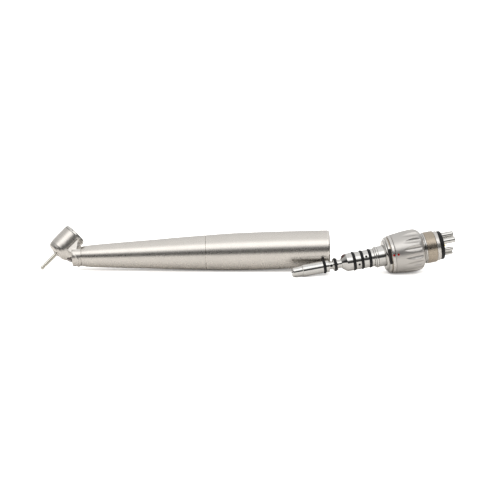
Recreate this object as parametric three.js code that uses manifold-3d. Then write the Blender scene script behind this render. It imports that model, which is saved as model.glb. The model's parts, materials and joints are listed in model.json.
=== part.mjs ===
// A 45 degree surgical high speed air handpiece, lying on its bur beside its quick-release hose coupler.
// Millimetres, +Z up. X runs along the handle towards the hose, and the origin is on the table,
// under the middle of the two pieces.
import * as THREE from "three";
import { ConvexGeometry } from "three/addons/geometries/ConvexGeometry.js";
import { mergeVertices } from "three/addons/utils/BufferGeometryUtils.js";
import Module from "manifold-3d";

const wasm = await Module();
wasm.setup();

// ---- driving dimensions ----
const DEG = Math.PI / 180;
const GAP = 0.1; // assembly gap between neighbouring pieces
const RUN = 0.05; // radial running clearance of turning pieces
const SLEEVE_SIDES = 32; // facets round the handle and the adjusting sleeve
const FINE_SIDES = 24; // facets round the chuck's parts and the socket
const BORE_SIDES = 20; // facets round the medium bores and shafts
const TUBE_SIDES = 16; // facets round the hose stubs and the dots
const SMALL_SIDES = 12; // facets round the inner tubes

// where the two pieces lie
const HANDLE_PITCH = 1.86 * DEG; // the rear of the handle is a little higher than its head
const HANDLE_ROLL = -28 * DEG; // the head leans back, away from the front
const HANDLE_SEAT = { x: -70.958, y: 2.216, z: 5.798 }; // the seam between head and handle
const COUPLER_YAW = 9.4 * DEG;
const COUPLER_PITCH = 8.15 * DEG; // it rests on its nose and its widest ring
const COUPLER_ROLL = -9.5 * DEG; // its contact strip faces the front, a little upwards
const COUPLER_SEAT = { x: 19.962, y: -9.484, z: 2.096 }; // its origin, just behind its tip

// head, measured along the bur's axis from the point where that axis crosses the handle's
const HEAD_ANGLE = 45 * DEG;
const HEAD_X = -12.45; // the crossing point, ahead of the seam
const HEAD_R = 5.3;
const HEAD_BOTTOM = 2.1;
const HEAD_TOP = 12.9;
const CAVITY_R = 3.95;
const CAVITY_FLOOR = 3.0;
const CAP_THREAD_R = 4.3;
const CAP_THREAD_FROM = 11.3;
const CAP_TOP = 14.35;
const BUTTON_R = 2.7;
const COLLAR_R = 4.17;
const COLLAR_LENGTH = 3.85;

// turbine
const BEARING_R = 3.175;
const BEARING_WIDTH = 2.38;
const FRONT_BEARING = 3.25;
const REAR_BEARING = 8.85;
const SPINDLE_R = 1.55;
const SHANK_R = 0.8; // friction-grip burs have a 1.6 mm shank
const BUR_TIP = -6.95;
const BUR_END = 11.2;

// handle
const SEAM_X = 53.25; // the handle's two sleeves meet here
const HANDLE_LENGTH = 106.2;
const WALL = 1.1;

// coupling, measured from the nose of the coupler
const INSERTED = 40.1; // how much of the coupler the handle swallows
const COUPLER_LENGTH = 64.5; // to the face of the hose gasket

// ---- materials ----
function metal(color, roughness) {
  return new THREE.MeshStandardMaterial({ color, roughness, metalness: 1 });
}

function polymer(color, roughness) {
  return new THREE.MeshStandardMaterial({ color, roughness, metalness: 0 });
}

const satin = metal(0xb9b2aa, 0.38);
const steel = metal(0xc8c8c8, 0.25);
const chrome = metal(0xe0e0e2, 0.08);
const brushed = metal(0xb4b4b4, 0.42);
const bronze = metal(0x82786a, 0.4);
const gold = metal(0xd0a850, 0.25);
const ceramic = polymer(0xf2f0ea, 0.2);
const phenolic = polymer(0x8a5a2c, 0.6);
const seal = polymer(0x16171a, 0.6);
const glass = polymer(0x4a352c, 0.15);
const lensRed = polymer(0x4a1e18, 0.2);
const redPaint = polymer(0xc01010, 0.4);
const darkPlastic = polymer(0x35332f, 0.6);

// ---- geometry helpers ----
// A closed three.js geometry as a manifold-3d solid, turned face out if need be.
function solid(geometry) {
  const bare = geometry.clone();
  bare.deleteAttribute("normal");
  bare.deleteAttribute("uv");
  const merged = mergeVertices(bare, 1e-4);
  const triVerts = new Uint32Array(merged.index.array);
  const vertProperties = merged.attributes.position.array;
  const made = new wasm.Manifold(new wasm.Mesh({ numProp: 3, vertProperties, triVerts }));
  if (made.volume() > 0) return made;
  for (let i = 0; i < triVerts.length; i += 3) {
    [triVerts[i + 1], triVerts[i + 2]] = [triVerts[i + 2], triVerts[i + 1]];
  }
  return new wasm.Manifold(new wasm.Mesh({ numProp: 3, vertProperties, triVerts }));
}

// A manifold-3d solid as a three.js geometry.
function geometryOf(made) {
  const { vertProperties, triVerts, numProp } = made.getMesh();
  const positions = new Float32Array((vertProperties.length / numProp) * 3);
  for (let i = 0; i < positions.length / 3; i += 1) {
    positions.set(vertProperties.subarray(i * numProp, i * numProp + 3), i * 3);
  }
  const geometry = new THREE.BufferGeometry();
  geometry.setAttribute("position", new THREE.BufferAttribute(positions, 3));
  geometry.setIndex(new THREE.BufferAttribute(triVerts, 1));
  geometry.computeVertexNormals();
  return geometry;
}

// A body turned about X from [x, radius] points. An outline that leaves the axis closes on itself.
function turned(outline, sides = BORE_SIDES) {
  const points = outline.map(([x, r]) => new THREE.Vector2(r, x));
  const last = points[points.length - 1];
  if (points[0].x > 0 || last.x > 0) points.push(points[0].clone());
  const twiceArea = points.reduce((sum, p, i) => {
    const q = points[(i + 1) % points.length];
    return sum + p.x * q.y - q.x * p.y;
  }, 0);
  if (twiceArea < 0) points.reverse();
  return new THREE.LatheGeometry(points, sides).rotateZ(-Math.PI / 2);
}

function rod(x0, x1, r, sides = SMALL_SIDES) {
  return turned([[x0, 0], [x0, r], [x1, r], [x1, 0]], sides);
}

function pipe(x0, x1, outer, inner, sides = SMALL_SIDES) {
  return turned([[x0, inner], [x0, outer], [x1, outer], [x1, inner]], sides);
}

// A seal ring round X with a round section, made up of flats.
function sealRing(x, centreR, sectionR, sides = BORE_SIDES, facets = 6) {
  const outline = [];
  for (let i = 0; i < facets; i += 1) {
    const angle = ((i + 0.5) * 2 * Math.PI) / facets;
    outline.push([x + sectionR * Math.cos(angle), centreR + sectionR * Math.sin(angle)]);
  }
  return turned(outline, sides);
}

function joined(geometries) {
  return geometries.map(solid).reduce((all, next) => all.add(next));
}

// base with every tool's volume taken away, as a geometry
function cut(base, tools) {
  const start = base instanceof THREE.BufferGeometry ? solid(base) : base;
  return geometryOf(tools.reduce((left, tool) => left.subtract(solid(tool)), start));
}

// count copies of a geometry, turned evenly about X
function around(count, make, phase = 0) {
  const copies = [];
  for (let i = 0; i < count; i += 1) {
    copies.push(make(i).rotateX(phase + (i * 2 * Math.PI) / count));
  }
  return copies;
}

function add(group, name, geometry, material) {
  const mesh = new THREE.Mesh(geometry, material.clone());
  mesh.name = name;
  group.add(mesh);
}

// Where a place on the coupler, s from its nose, comes to lie along the handle once plugged in.
function plugged(s) {
  return HANDLE_LENGTH - INSERTED + s;
}

// ---- head ----
const BARREL = [
  [HEAD_BOTTOM, 0], [HEAD_BOTTOM, 2.6], [2.45, 3.9], [3.0, 4.6], [3.9, 5.05], [5.2, 5.24],
  [6.6, HEAD_R], [HEAD_TOP, HEAD_R], [HEAD_TOP, 0],
];
const DRIVE_Z = 1.35; // the drive air tube's height over the handle's axis
const DRIVE_R = 1.2;
const SPRAY_Y = 1.15;
const SPRAY_Z = -1.0;
const SPRAY_R = 0.5;
const SPRAY_HOLE_R = 0.3;
const ROD_R = 0.72;
const ROD_FRONT_Z = -1.8;
const ROD_REAR_Z = -4.15;
const SPIGOT_R = 3.6; // the handle's nose, inside the head's collar
const SPIGOT_LENGTH = 2.6;
const POCKET_OFFSET = 2.83; // the milled side flats start this far behind the bur's axis
const POCKET_FROM = 6.55;
const POCKET_HALF = 3.5; // half the width across the flats
const POCKET_TO = 12.3;
const POCKET_DEPTH = 4; // thickness of the milling tool
const POCKET_REACH = 8; // its length towards the handle
const WINDOW = [[-6.45, -1.45], [-4.2, -0.85], [-4.2, -2.35]]; // its side view, [x, z]
const WINDOW_HALF = 2.3;
const NECK_HALF = 4.4; // half the neck's greatest width

// A geometry given along the bur's axis, laid into the handle's frame.
function onHead(geometry) {
  return geometry.rotateY(-HEAD_ANGLE).translate(HEAD_X, 0, 0);
}

function circlePoints(x, r, count, make) {
  const points = [];
  for (let i = 0; i < count; i += 1) {
    const angle = (i * 2 * Math.PI) / count;
    points.push(make(x, r * Math.sin(angle), r * Math.cos(angle)));
  }
  return points;
}

function onHeadPoint(t, y, up) {
  return new THREE.Vector3(t, y, up).applyAxisAngle(new THREE.Vector3(0, 1, 0), -HEAD_ANGLE)
    .add(new THREE.Vector3(HEAD_X, 0, 0));
}

// The cast neck: it carries the barrel on the collar, deep below and narrower above.
function neck() {
  const collarEnd = circlePoints(-0.6, COLLAR_R, BORE_SIDES, (x, y, z) => new THREE.Vector3(x, y, z));
  const low = [];
  for (const [t, half] of [[2.6, 3.0], [4.2, 4.3], [POCKET_FROM + 0.6, NECK_HALF]]) {
    low.push(onHeadPoint(t, -half, -2.2), onHeadPoint(t, half, -2.2));
  }
  low.push(onHeadPoint(2.7, -1.8, -3.5), onHeadPoint(2.7, 1.8, -3.5));
  const keel = [];
  for (const side of [-1, 1]) {
    keel.push(new THREE.Vector3(-6.5, side * 1.7, -1.5));
    keel.push(new THREE.Vector3(-COLLAR_LENGTH, side * 2.6, -2.6));
  }
  const lower = new ConvexGeometry([...collarEnd.filter((p) => p.z > -3.3), ...low, ...keel]);
  const web = [];
  for (const side of [-1, 1]) {
    web.push(onHeadPoint(POCKET_FROM - 1, side * NECK_HALF, -2.2));
    web.push(onHeadPoint(HEAD_TOP - 0.5, side * 3.6, -2.4));
    web.push(onHeadPoint(HEAD_TOP - 0.5, side * 1.2, -4.9));
    web.push(new THREE.Vector3(-0.6, side * 2.9, 3.0), new THREE.Vector3(-0.6, side * 1.2, 4.0));
    web.push(new THREE.Vector3(-1.2, side * 1.2, 5.6), new THREE.Vector3(-0.6, side * 3.9, 0.9));
  }
  return joined([lower, new ConvexGeometry(web), pipe(-COLLAR_LENGTH, 0, COLLAR_R, 1, BORE_SIDES)]);
}

// A wedge across the head's middle plane, from its side view and half its width.
function wedge(side, half) {
  const points = side.map(([x, z]) => [new THREE.Vector3(x, -half, z), new THREE.Vector3(x, half, z)]);
  return new ConvexGeometry(points.flat());
}

// The tool that mills one side flat.
function sideFlat(side) {
  const box = new THREE.BoxGeometry(POCKET_TO - POCKET_FROM, POCKET_DEPTH, POCKET_REACH);
  box.translate(
    (POCKET_FROM + POCKET_TO) / 2, side * (POCKET_HALF + POCKET_DEPTH / 2), -POCKET_OFFSET - POCKET_REACH / 2,
  );
  return onHead(box);
}

function headHousing() {
  const flats = [-1, 1].map(sideFlat);
  const outside = solid(onHead(turned(BARREL))).add(neck());
  const cavity = onHead(turned([
    [CAVITY_FLOOR, 0], [CAVITY_FLOOR, CAVITY_R], [CAP_THREAD_FROM, CAVITY_R],
    [CAP_THREAD_FROM, CAP_THREAD_R], [HEAD_TOP + 1, CAP_THREAD_R], [HEAD_TOP + 1, 0],
  ]));
  const noseHole = onHead(rod(HEAD_BOTTOM - 1, CAVITY_FLOOR + 1, SPINDLE_R + 0.15, BORE_SIDES));
  const socket = rod(-SPIGOT_LENGTH - GAP, 1, SPIGOT_R + GAP, BORE_SIDES);
  const driveJet = rod(-5.6, 0, DRIVE_R + GAP).translate(0, 0, DRIVE_Z);
  const sprays = [];
  for (const y of [-SPRAY_Y, SPRAY_Y]) {
    sprays.push(rod(-10, 0, SPRAY_HOLE_R).translate(0, y, SPRAY_Z));
    sprays.push(rod(-3.6, 0, SPRAY_R + GAP).translate(0, y, SPRAY_Z));
  }
  const rodHole = rod(WINDOW[0][0], 0, ROD_R + GAP).translate(0, 0, ROD_FRONT_Z);
  const [tip, top] = WINDOW;
  const windowSeat = wedge([
    [tip[0] - 0.5, tip[1]], [top[0] + GAP, top[1] + GAP], [top[0] + GAP, -4], [tip[0] - 0.5, -4],
  ], NECK_HALF);
  return cut(outside, [...flats, cavity, noseHole, socket, driveJet, ...sprays, rodHole, windowSeat]);
}

// The light's exit: a wedge of glass that follows the underside of the neck.
function lightWindow() {
  return wedge(WINDOW, WINDOW_HALF);
}

function backCap() {
  const lip = BUTTON_R + 0.12;
  const body = turned([
    [CAP_THREAD_FROM + 0.15, 3.85], [CAP_THREAD_FROM + 0.15, CAP_THREAD_R - GAP],
    [HEAD_TOP + GAP, CAP_THREAD_R - GAP], [HEAD_TOP + GAP, 5.25], [13.6, 5.15], [14.1, 4.8],
    [CAP_TOP, 4.4], [CAP_TOP, lip], [13.55, lip], [13.55, 3.85],
  ]);
  const notches = around(6, () => {
    const notch = new THREE.BoxGeometry(0.9, 1.8, 1.4);
    return notch.translate(14.2, 0, 4.7);
  }, 90 * DEG);
  return cut(body, notches);
}

function pushButton() {
  const flange = 3.6;
  return turned([
    [12.55, 0], [12.55, 2.2], [12.85, flange], [13.4, flange], [13.4, BUTTON_R],
    [14.35, BUTTON_R], [14.62, 2.3], [14.74, 1.2], [14.78, 0],
  ]);
}

function springWasher() {
  return turned([[11.55, 2.9], [11.8, 2.0], [11.95, 2.0], [11.7, 2.9], [11.7, 3.7], [11.55, 3.7]]);
}

// ---- turbine ----
const BALLS = 7;
const BALL_R = 0.5;
const PITCH_R = 2.32;
const GROOVE = 0.55; // half the width of the ball grooves
const RACE_LIP = 2.62;
const INNER_LIP = 2.02;

function outerRace(from) {
  const middle = from + BEARING_WIDTH / 2;
  const deep = PITCH_R + BALL_R + RUN;
  return turned([
    [from, RACE_LIP], [from, BEARING_R], [from + BEARING_WIDTH, BEARING_R],
    [from + BEARING_WIDTH, RACE_LIP], [middle + GROOVE, RACE_LIP], [middle + GROOVE / 2, deep],
    [middle - GROOVE / 2, deep], [middle - GROOVE, RACE_LIP],
  ]);
}

function innerRace(from) {
  const middle = from + BEARING_WIDTH / 2;
  const deep = PITCH_R - BALL_R - RUN;
  return turned([
    [from, SPINDLE_R + RUN], [from, INNER_LIP], [middle - GROOVE, INNER_LIP],
    [middle - GROOVE / 2, deep], [middle + GROOVE / 2, deep], [middle + GROOVE, INNER_LIP],
    [from + BEARING_WIDTH, INNER_LIP], [from + BEARING_WIDTH, SPINDLE_R + RUN],
  ]);
}

// The balls and the phenolic cage that spaces them, as one ring.
function ballCage(from) {
  const middle = from + BEARING_WIDTH / 2;
  const ring = pipe(middle - 0.7, middle + 0.7, PITCH_R + 0.18, PITCH_R - 0.18, 3 * BALLS);
  const balls = around(BALLS, () => new THREE.IcosahedronGeometry(BALL_R).translate(middle, 0, PITCH_R));
  return geometryOf(joined([ring, ...balls]));
}

const IMPELLER_FROM = 5.85;
const IMPELLER_TO = 8.6;
const BLADES = 10;

function impeller() {
  const hub = pipe(IMPELLER_FROM, IMPELLER_TO, 2.35, SPINDLE_R + RUN, BORE_SIDES);
  const blades = around(BLADES, () => {
    const blade = new THREE.BoxGeometry(IMPELLER_TO - IMPELLER_FROM - 0.2, 0.45, 1.6);
    return blade.rotateX(18 * DEG).translate((IMPELLER_FROM + IMPELLER_TO) / 2, 0, 2.9);
  });
  return geometryOf(joined([hub, ...blades]));
}

const CHUCK_R = 1.18;
const CHUCK_FROM = 2.6;
const CHUCK_TO = 11.0;

function spindle() {
  return turned([
    [1.75, SHANK_R + RUN], [1.75, SPINDLE_R - 0.2], [1.95, SPINDLE_R], [11.35, SPINDLE_R],
    [11.35, CHUCK_R + RUN], [CHUCK_FROM - GAP, CHUCK_R + RUN], [CHUCK_FROM - GAP, SHANK_R + RUN],
  ], FINE_SIDES);
}

function chuck() {
  const sleeve = pipe(CHUCK_FROM, CHUCK_TO, CHUCK_R, SHANK_R + RUN, FINE_SIDES);
  const slots = around(3, () => new THREE.BoxGeometry(4.4, 0.25, 1).translate(CHUCK_FROM + 1.6, 0, 1.1));
  return cut(sleeve, slots);
}

// A straight tungsten carbide fissure bur with a short fluted head.
function bur() {
  return turned([
    [BUR_TIP, 0], [BUR_TIP, 0.66], [BUR_TIP + 0.25, SHANK_R], [BUR_TIP + 1.15, SHANK_R],
    [BUR_TIP + 1.35, 0.66], [BUR_TIP + 1.75, 0.66], [BUR_TIP + 2.1, SHANK_R],
    [BUR_END - 0.2, SHANK_R], [BUR_END, 0.6], [BUR_END, 0],
  ], FINE_SIDES);
}

// ---- handle ----
const HANDLE = [
  [0, 4.17], [3.9, 4.7], [16.8, 5.48], [29.7, 6.13], [42.6, 6.88], [SEAM_X, 7.4],
  [64.1, 7.86], [77, 8.02], [87.8, 8.02], [102.8, 7.92],
];
const JOIN_R = 5.75; // the spigot between the two sleeves
const JOIN_LENGTH = 3;

function frontSleeve() {
  const outside = HANDLE.filter(([x]) => x <= SEAM_X - 1);
  const bore = outside.filter(([x]) => x >= 3.9).map(([x, r]) => [x, r - WALL]).reverse();
  return turned([
    [-SPIGOT_LENGTH, 3.2], [-SPIGOT_LENGTH, SPIGOT_R], [GAP, SPIGOT_R], [GAP, 4.17],
    ...outside.slice(1), [SEAM_X - 0.05, 7.39], [SEAM_X - 0.05, JOIN_R + GAP],
    [SEAM_X - JOIN_LENGTH - 0.3, JOIN_R + GAP], [SEAM_X - JOIN_LENGTH - 0.3, 5.5],
    ...bore, [1.2, 3.2],
  ], SLEEVE_SIDES);
}

const RIM_R = 7.3;
const SOCKET_R = 6.6;
const SOCKET_NECK_R = 5.5;
const SOCKET_RING_X = 97.5; // the seal ring round the socket

function rearSleeve() {
  const outside = HANDLE.filter(([x]) => x > SEAM_X);
  return turned([
    [SEAM_X - JOIN_LENGTH, 5.1], [SEAM_X - JOIN_LENGTH, JOIN_R], [SEAM_X + 0.05, JOIN_R],
    [SEAM_X + 0.05, 7.4], ...outside, [HANDLE_LENGTH - 0.9, 7.9], [HANDLE_LENGTH - 0.3, 7.72],
    [HANDLE_LENGTH, RIM_R], [HANDLE_LENGTH, SOCKET_R + GAP], [77, SOCKET_R + GAP],
    [64.1, 6.3], [SEAM_X + 3, 5.1],
  ], SLEEVE_SIDES);
}

const SOCKET_FROM = plugged(-3.5);
const TUBES_TO = plugged(-1.6); // the tubes end in the socket's floor

// The stepped bore that takes the coupler's probe, with its seal lands and its snap groove.
function couplingSocket() {
  const bore = [
    [plugged(INSERTED) - 0.35, 5.05], [plugged(SNAP_X + 0.8), 4.95], [plugged(SNAP_X + 0.7), 5.15],
    [plugged(SNAP_X - 0.5), 5.15], [plugged(SNAP_X - 0.6), 4.95], [plugged(SNAP_X - 1.9), 4.95],
    [plugged(SNAP_X - 2.1), 4.12], [plugged(22.9), 4.12], [plugged(20.2), 3.1],
    [plugged(11.5), 3.1], [plugged(11.3), 2.8], [plugged(NOSE_FROM - 0.4), 2.8],
  ];
  const body = turned([
    [plugged(NOSE_FROM - 0.4), 0], [SOCKET_FROM, 0], [SOCKET_FROM, SOCKET_NECK_R],
    [plugged(18), SOCKET_NECK_R], [plugged(20), SOCKET_R], [HANDLE_LENGTH - 0.35, SOCKET_R], ...bore,
  ], FINE_SIDES);
  const groove = pipe(SOCKET_RING_X - 0.8, SOCKET_RING_X + 0.8, 8, SOCKET_R - 0.75, FINE_SIDES);
  const drive = rod(SOCKET_FROM - 1, plugged(1), DRIVE_R + GAP).translate(0, 0, DRIVE_Z);
  const sprays = [-SPRAY_Y, SPRAY_Y].map((y) => {
    return rod(SOCKET_FROM - 1, plugged(1), SPRAY_R + GAP).translate(0, y, SPRAY_Z);
  });
  const light = rod(SOCKET_FROM - 1, plugged(21.8), ROD_R + GAP).translate(0, 0, ROD_REAR_Z);
  return cut(body, [groove, drive, ...sprays, light]);
}

// The glass rod bends once, from the socket's rim down to the window.
function lightRod() {
  const route = [
    [WINDOW[1][0] + GAP, ROD_FRONT_Z], [4, ROD_FRONT_Z], [20, -2.3], [36, -3.3], [50, -4.0],
    [58, ROD_REAR_Z], [plugged(10), ROD_REAR_Z], [plugged(21.2), ROD_REAR_Z],
  ].map(([x, z]) => new THREE.Vector3(x, 0, z));
  const section = new THREE.Shape();
  section.absarc(0, 0, ROD_R, 0, 2 * Math.PI);
  const extrudePath = new THREE.CatmullRomCurve3(route, false, "centripetal");
  const options = { extrudePath, steps: 16, curveSegments: 4, bevelEnabled: false };
  return new THREE.ExtrudeGeometry(section, options);
}

const SPACER_X = 30;

function tubeSpacer() {
  const disc = rod(SPACER_X - 1, SPACER_X + 1, 4.7, BORE_SIDES);
  const holes = [rod(SPACER_X - 2, SPACER_X + 2, DRIVE_R + GAP).translate(0, 0, DRIVE_Z)];
  for (const y of [-SPRAY_Y, SPRAY_Y]) {
    holes.push(rod(SPACER_X - 2, SPACER_X + 2, SPRAY_R + GAP).translate(0, y, SPRAY_Z));
  }
  holes.push(rod(SPACER_X - 2, SPACER_X + 2, ROD_R + 0.35).translate(0, 0, -2.93));
  for (const side of [-1, 1]) {
    holes.push(new THREE.BoxGeometry(4, 2.6, 3.4).translate(SPACER_X, side * 4.2, 0.9)); // exhaust air
  }
  return cut(disc, holes);
}

// ---- coupler ----
const NOSE_FROM = -1.1; // the probe's very tip
const NOSE_R = 2.6;
const LAND_R = 3.83;
const CONE_FROM = 20.3;
const CONE_TO = 22.5;
const CONE_SMALL_R = 2.3;
const PROBE_BORE_R = 1.35;
const SNAP_X = 35.5;
const SNAP_HALF = 0.45; // half the snap ring's width
const CROSS_HOLE_X = 15.7;
const PROBE = [
  [NOSE_FROM, PROBE_BORE_R], [NOSE_FROM, 1.85], [NOSE_FROM + 0.5, 2.05], [3.2, 2.3],
  [3.6, NOSE_R], [12.25, NOSE_R], [12.25, 2.2],
  [13.4, 2.2], [13.4, NOSE_R], [14.7, NOSE_R], [14.7, 1.65], [16.7, 1.65], [16.7, NOSE_R],
  [17.0, NOSE_R], [17.0, 2.2], [18.1, 2.2], [18.1, NOSE_R], [18.5, NOSE_R], [18.5, 1.85],
  [CONE_FROM, 1.85], [CONE_FROM, CONE_SMALL_R], [CONE_TO, LAND_R],
];
const SEALS = [
  { x: 12.82, r: 3.0 }, { x: 17.55, r: 2.85 }, { x: 25.55, r: 4.05 }, { x: 29.05, r: 4.05 },
  { x: 32.5, r: 4.05 },
];
const SEAL_HALF = 0.6;
const SIDE_ANGLE = 22 * DEG; // the ports stand this far above and below the side
const PORT_R = 0.45;
const CROSS_HOLE_R = 0.5;
const PORTS = [
  { x: 27.4, r: PORT_R, angle: -SIDE_ANGLE }, { x: 30.75, r: PORT_R, angle: SIDE_ANGLE },
  { x: CROSS_HOLE_X, r: CROSS_HOLE_R, angle: 0 }, { x: CROSS_HOLE_X, r: CROSS_HOLE_R, angle: Math.PI },
];

const LIGHT_R = 1.0;
const LIGHT_DEPTH = 1.45;
const CONE_TILT = 122.5 * DEG; // from the coupler's axis to the cone's normal

// A geometry given along the cone's normal, laid on the middle of the probe's cone.
function onCone(geometry) {
  return geometry.rotateY(-CONE_TILT)
    .translate((CONE_FROM + CONE_TO) / 2, 0, (CONE_SMALL_R + LAND_R) / 2);
}

function couplerProbe() {
  const lands = [];
  for (const { x } of SEALS.slice(2)) {
    lands.push([x - SEAL_HALF, LAND_R], [x - SEAL_HALF, 3.1], [x + SEAL_HALF, 3.1], [x + SEAL_HALF, LAND_R]);
  }
  const tail = [
    [34.2, LAND_R], [34.45, 4.2], [SNAP_X - SNAP_HALF - RUN, 4.2], [SNAP_X - SNAP_HALF - RUN, 4.0],
    [SNAP_X + SNAP_HALF + RUN, 4.0], [SNAP_X + SNAP_HALF + RUN, 4.4],
    [FLANGE_FROM + 3.9, 4.5], [FLANGE_FROM + 3.9, PROBE_BORE_R],
  ];
  const body = turned([...PROBE, ...lands, ...tail]);
  const tools = PORTS.map(({ x, r, angle }) => {
    return rod(0, 6, r, 10).rotateZ(-Math.PI / 2).rotateX(-angle).translate(x, 0, 0);
  });
  tools.push(onCone(rod(-LIGHT_DEPTH, 2, LIGHT_R + GAP, BORE_SIDES)));
  return cut(body, tools);
}

function lightLens() {
  return onCone(turned([
    [-0.65, 0], [-0.65, LIGHT_R], [0.1, LIGHT_R], [0.3, 0.75], [0.4, 0.4], [0.42, 0],
  ], BORE_SIDES));
}

function ledModule() {
  return onCone(rod(-LIGHT_DEPTH + GAP, -0.75, 0.85, TUBE_SIDES));
}

const FLANGE_FROM = 38.9;
const FLANGE_R = 7.65;
const FLANGE_TO = FLANGE_FROM + 2.2;
const SLEEVE_BORE = 6.4;
const CORE_R = 6.3;
const THREAD_FROM = 55.75;
const THREAD_TO = 60.95;
const CORE_REAR_R = 5.8;
const BODY_TO = 62.75;
const STRIP_X = 40.35; // the contact strip's middle
const STRIP_Y = -6.9; // the floor of its recess
const STRIP_WIDTH = 1.2;
const STRIP_THICK = 0.5;
const STRIP_SPAN = 6.4;
const LONG_STUB = 70.1; // where the air stubs end
const SHORT_STUB = 68.8;
const STUBS = [
  { name: "exhaust_stub", y: 0.59, z: 3.75, r: 1.3, wall: 0.28, to: LONG_STUB },
  { name: "drive_air_stub", y: -1.47, z: 1.53, r: 1.3, wall: 0.28, to: LONG_STUB },
  { name: "water_stub", y: -0.53, z: -2.27, r: 0.95, wall: 0.25, to: SHORT_STUB },
  { name: "chip_air_stub", y: 1.19, z: -4.06, r: 0.85, wall: 0.25, to: SHORT_STUB },
];
const PINS = [
  { name: "contact_pin_left", y: -3.14, z: 0 },
  { name: "contact_pin_right", y: -1.15, z: -0.45 },
];
const PIN_R = 0.35;
const PIN_TO = COUPLER_LENGTH + 1;
const STUB_FROM = 59;

function couplerBody() {
  const body = turned([
    [FLANGE_FROM, 4.6], [FLANGE_FROM + 0.4, 6.65], [FLANGE_FROM + 0.8, 6.65],
    [FLANGE_FROM + 0.8, FLANGE_R], [FLANGE_TO, FLANGE_R], [FLANGE_TO, CORE_R],
    [THREAD_FROM - GAP, CORE_R], [THREAD_FROM - GAP, CORE_REAR_R], [BODY_TO, CORE_REAR_R],
    [BODY_TO, 5.4], [FLANGE_FROM + 4.1, 5.4], [FLANGE_FROM + 4.1, 4.6],
  ], SLEEVE_SIDES);
  const recess = new THREE.BoxGeometry(STRIP_WIDTH + 0.4, 2, 20).translate(STRIP_X + 0.2, STRIP_Y - 1, 0);
  return cut(body, [recess]);
}

function contactStrip() {
  const block = new THREE.BoxGeometry(STRIP_WIDTH, STRIP_THICK, STRIP_SPAN);
  return block.translate(STRIP_X, STRIP_Y - RUN - STRIP_THICK / 2, 0);
}

const DOT_R = 0.45;
const DOT_DEPTH = 0.3;
const DOT_HOLE = 0.35;
const DOT_LIFT = 0.3; // how far the dots stand above the side's middle line
const INDEX_FROM = FLANGE_TO + GAP;
const INDEX_R = 8.05;
const INDEX_DOT_X = 41.8;
const SLEEVE_DOT_X = 43.75;
const SLEEVE_DOT_SURFACE = 8.3;

// A small cylinder of paint let into the side that faces the front.
function dot(x, surfaceR, r, deep, proud) {
  const pin = rod(surfaceR - deep, surfaceR + proud, r, TUBE_SIDES);
  return pin.rotateZ(-Math.PI / 2).translate(x, 0, DOT_LIFT);
}

function indexRing() {
  const ring = turned([
    [INDEX_FROM, SLEEVE_BORE], [INDEX_FROM, 7.9], [INDEX_FROM + 0.2, INDEX_R],
    [SLEEVE_FROM - 0.15, 8.12], [SLEEVE_FROM - 0.15, SLEEVE_BORE],
  ], SLEEVE_SIDES);
  return cut(ring, [dot(INDEX_DOT_X, INDEX_R, DOT_R + RUN, DOT_HOLE, 1)]);
}

const SLEEVE_FROM = 42.65;
const SLEEVE_TO = 55.6;
const SLEEVE = [
  [SLEEVE_FROM, 8.1], [44.2, 8.33], [47.4, 8.68], [50.8, 9.0], [52.8, 8.95], [54.0, 8.55], [54.9, 7.85],
  [SLEEVE_TO, 6.8],
];
const FLUTES = 16;
const FLUTE_FROM = 46.7;
const FLUTE_R = 1.5;
const FLUTE_TOOL_R = 10.6; // from the coupler's axis to the milling tool's, where it starts
const FLUTE_LEAN = 9 * DEG; // the tool dips towards the hose, so each flute starts in a point
const FLUTE_PHASE = 11 * DEG;

function adjustingSleeve() {
  const ring = turned([[SLEEVE_FROM, SLEEVE_BORE], ...SLEEVE, [SLEEVE_TO, SLEEVE_BORE]], SLEEVE_SIDES);
  const flutes = around(FLUTES, () => {
    const tool = rod(0, 12, FLUTE_R, 8);
    return tool.rotateY(FLUTE_LEAN).translate(FLUTE_FROM, 0, FLUTE_TOOL_R);
  }, FLUTE_PHASE);
  return cut(ring, [...flutes, dot(SLEEVE_DOT_X, SLEEVE_DOT_SURFACE, DOT_R + RUN, DOT_HOLE, 1)]);
}

function threadRing() {
  const start = THREAD_FROM + 1;
  const outline = [
    [THREAD_FROM, CORE_REAR_R + GAP], [THREAD_FROM, 6.45], [start - 0.2, 6.45], [start, 6.75],
  ];
  const turns = 3;
  const pitch = (THREAD_TO - start) / turns;
  for (let i = 1; i < turns; i += 1) {
    const x = start + i * pitch;
    outline.push([x - 0.12, 6.75], [x, 6.6], [x + 0.12, 6.75]);
  }
  outline.push([THREAD_TO, 6.75], [THREAD_TO, CORE_REAR_R + GAP]);
  return turned(outline);
}

function rearRing() {
  return turned([
    [THREAD_TO + GAP, CORE_REAR_R + GAP], [THREAD_TO + GAP, 6.15], [THREAD_TO + 0.3, 6.3],
    [BODY_TO - 0.2, 6.3], [BODY_TO, 6.1], [BODY_TO, CORE_REAR_R + GAP],
  ]);
}

function stubHoles(x0, x1, room) {
  const tubes = STUBS.map(({ y, z, r }) => rod(x0, x1, r + room).translate(0, y, z));
  return [...tubes, ...PINS.map(({ y, z }) => rod(x0, x1, PIN_R + room, 10).translate(0, y, z))];
}

function stubBlock() {
  return cut(rod(STUB_FROM, BODY_TO, 5.3, BORE_SIDES), stubHoles(STUB_FROM - 1, BODY_TO + 1, GAP));
}

function hoseGasket() {
  const disc = turned([
    [BODY_TO + GAP, 0], [BODY_TO + GAP, 6.1], [COUPLER_LENGTH - 0.3, 6.1], [COUPLER_LENGTH, 5.8],
    [COUPLER_LENGTH, 0],
  ]);
  return cut(disc, stubHoles(BODY_TO - 1, COUPLER_LENGTH + 1, GAP));
}

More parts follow.
